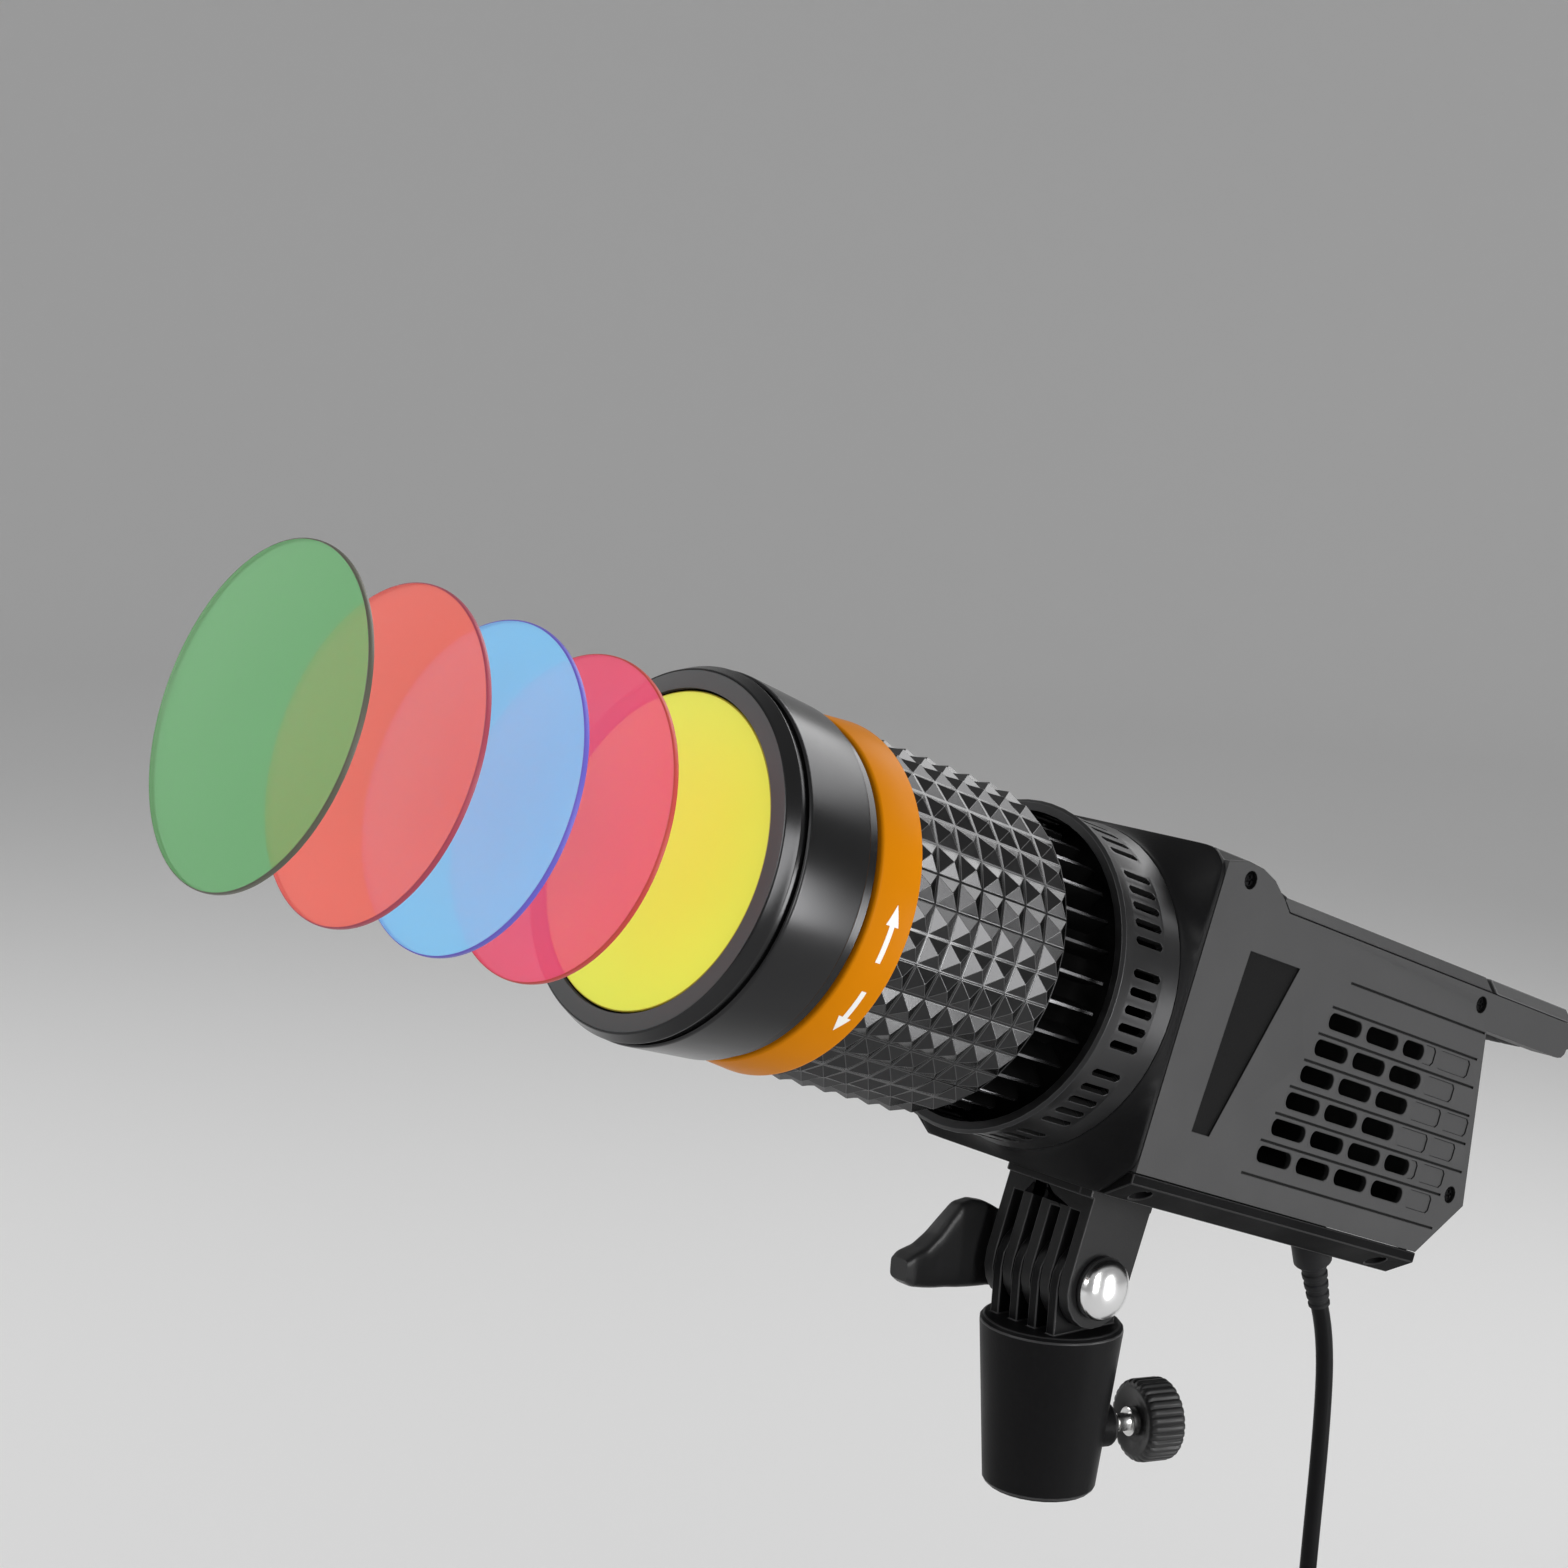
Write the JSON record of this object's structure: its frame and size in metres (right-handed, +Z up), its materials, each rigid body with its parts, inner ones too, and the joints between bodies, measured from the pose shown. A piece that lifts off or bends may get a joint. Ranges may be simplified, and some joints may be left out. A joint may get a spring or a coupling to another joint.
{
  "type": "led studio light",
  "caption": "Focusing LED studio light with a vented lamp head, turning zoom grip, spread colour filters and a tilting stand socket with clamp screw.",
  "frame": {"origin": "centre of the stand socket's mouth, on the axis of its bore", "axes": "+Z up along the socket, -Y towards the lamp's front, +X towards the side with the domed hinge bolt"},
  "size_m": [0.1344, 0.6057, 0.5817],
  "materials": {
    "panel_paint": "powder-coated satin",
    "black_paint": "powder-coated satin",
    "collar_metal": "anodised satin",
    "drum_metal": "black anodised",
    "ring_orange": "painted satin",
    "annulus_grey": "painted matte",
    "lens_glass": "polished",
    "board_metal": "satin",
    "emitter": "phosphor",
    "holder": "matte",
    "screw_black": "black oxide",
    "knob_plastic": "matte",
    "window": "gloss",
    "grip_rubber": "matte",
    "board_green": "satin",
    "chrome_bolt": "polished",
    "washer_black": "black",
    "stud_steel": "plated",
    "pad_brass": "satin",
    "filter_yellow": "clear tinted",
    "filter_pink": "clear tinted",
    "filter_blue": "clear tinted",
    "filter_red": "clear tinted",
    "filter_green": "clear tinted"
  },
  "bodies": {
    "stand_mount": {"stand_socket": "black_paint"},
    "head": {"bottom_tray": "black_paint", "cob_board": "board_metal", "cord_coil": "grip_rubber", "cord_gland": "grip_rubber", "cord_lead": "grip_rubber", "cord_tail": "grip_rubber", "cord_tie": "grip_rubber", "display_window": "window", "driver_board": "board_green", "fan_frame": "knob_plastic", "finned_drum": "drum_metal", "front_hood": "black_paint", "front_shell": "black_paint", "guide_tube": "drum_metal", "handle_arm_left": "panel_paint", "handle_arm_right": "panel_paint", "handle_bar": "grip_rubber", "head_bracket": "black_paint", "hinge_bolt": "chrome_bolt", "hinge_washer": "washer_black", "led_emitter": "emitter", "led_holder": "holder", "mains_plug": "knob_plastic", "panel_screw_left_1": "screw_black", "panel_screw_left_2": "screw_black", "panel_screw_left_3": "screw_black", "panel_screw_right_1": "screw_black", "panel_screw_right_2": "screw_black", "panel_screw_right_3": "screw_black", "rear_panel": "black_paint", "rocker_rim": "knob_plastic", "side_panel_left": "panel_paint", "side_panel_right": "panel_paint", "top_cover": "panel_paint", "tray_screw_1": "screw_black", "tray_screw_2": "screw_black", "tray_screw_3": "screw_black", "tray_screw_4": "screw_black", "vent_collar": "collar_metal"},
    "zoom_grip": {"zoom_grip": "drum_metal", "zoom_ring": "ring_orange"},
    "lens_barrel": {"lens_barrel": "drum_metal", "front_annulus": "annulus_grey", "condenser_lens": "lens_glass", "lens_retainer": "drum_metal"},
    "fan_rotor": {"fan_rotor": "knob_plastic"},
    "dimmer_knob": {"dimmer_knob": "knob_plastic"},
    "power_rocker": {"power_rocker": "knob_plastic"},
    "lock_lever": {"lock_lever": "knob_plastic"},
    "clamp_pad": {"clamp_pad": "pad_brass"},
    "clamp_screw": {"clamp_stud": "stud_steel", "clamp_knob": "knob_plastic"},
    "filter_yellow": {"filter_yellow": "filter_yellow"},
    "filter_pink": {"filter_pink": "filter_pink"},
    "filter_blue": {"filter_blue": "filter_blue"},
    "filter_red": {"filter_red": "filter_red"},
    "filter_green": {"filter_green": "filter_green"}
  },
  "joints": [
    {"name": "head_tilt", "type": "hinge", "parent": "stand_mount", "child": "head", "pos_m": [0, 0, 0.0836], "axis": [1, 0, 0], "range_deg": [-45, 105]},
    {"name": "zoom_turn", "type": "hinge", "parent": "head", "child": "zoom_grip", "pos_m": [0, -0.11264, 0.22624], "axis": [0, -0.9532, 0.3024], "range_deg": [0, 90]},
    {"name": "lens_focus", "type": "slide", "parent": "head", "child": "lens_barrel", "axis": [0, -0.9532, 0.3024], "range_m": [0, 0.022]},
    {"name": "filter_green_slide", "type": "slide", "parent": "lens_barrel", "child": "filter_green", "axis": [0, 0.9532, -0.3024], "range_m": [0, 0.157]},
    {"name": "filter_red_slide", "type": "slide", "parent": "lens_barrel", "child": "filter_red", "axis": [0, 0.9532, -0.3024], "range_m": [0, 0.1169]},
    {"name": "filter_blue_slide", "type": "slide", "parent": "lens_barrel", "child": "filter_blue", "axis": [0, 0.9532, -0.3024], "range_m": [0, 0.0817]},
    {"name": "filter_pink_slide", "type": "slide", "parent": "lens_barrel", "child": "filter_pink", "axis": [0, 0.9532, -0.3024], "range_m": [0, 0.0479]},
    {"name": "filter_yellow_slide", "type": "slide", "parent": "lens_barrel", "child": "filter_yellow", "axis": [0, 0.9532, -0.3024], "range_m": [0, 0.0089]},
    {"name": "fan_spin", "type": "hinge", "parent": "head", "child": "fan_rotor", "pos_m": [0, 0.00174, 0.18995], "axis": [0, 0.9532, -0.3024], "continuous": true},
    {"name": "dimmer_turn", "type": "hinge", "parent": "head", "child": "dimmer_knob", "pos_m": [0.026, 0.17021, 0.13441], "axis": [0, 0.9986, -0.0526], "range_deg": [-150, 150]},
    {"name": "power_rock", "type": "hinge", "parent": "head", "child": "power_rocker", "pos_m": [-0.028, 0.17191, 0.13432], "axis": [0, 0.0526, 0.9986], "range_deg": [-8, 0]},
    {"name": "lever_turn", "type": "hinge", "parent": "head", "child": "lock_lever", "pos_m": [0, 0, 0.0836], "axis": [1, 0, 0], "range_deg": [-5, 60]},
    {"name": "clamp_press", "type": "slide", "parent": "stand_mount", "child": "clamp_pad", "axis": [-0.2588, -0.9659, 0], "range_m": [0, 0.0025]},
    {"name": "clamp_turn", "type": "hinge", "parent": "clamp_pad", "child": "clamp_screw", "pos_m": [0, 0, 0.021], "axis": [-0.2588, -0.9659, 0], "range_deg": [0, 721]}
  ],
  "couplings": [
    {"joint": "lens_focus", "follows": "zoom_turn", "m_per_rad": 0.014},
    {"joint": "filter_red_slide", "follows": "filter_green_slide", "ratio": 0.74458},
    {"joint": "filter_blue_slide", "follows": "filter_green_slide", "ratio": 0.52038},
    {"joint": "filter_pink_slide", "follows": "filter_green_slide", "ratio": 0.30509},
    {"joint": "filter_yellow_slide", "follows": "filter_green_slide", "ratio": 0.05668},
    {"joint": "clamp_turn", "follows": "clamp_press", "rad_per_m": 5026.5}
  ]
}
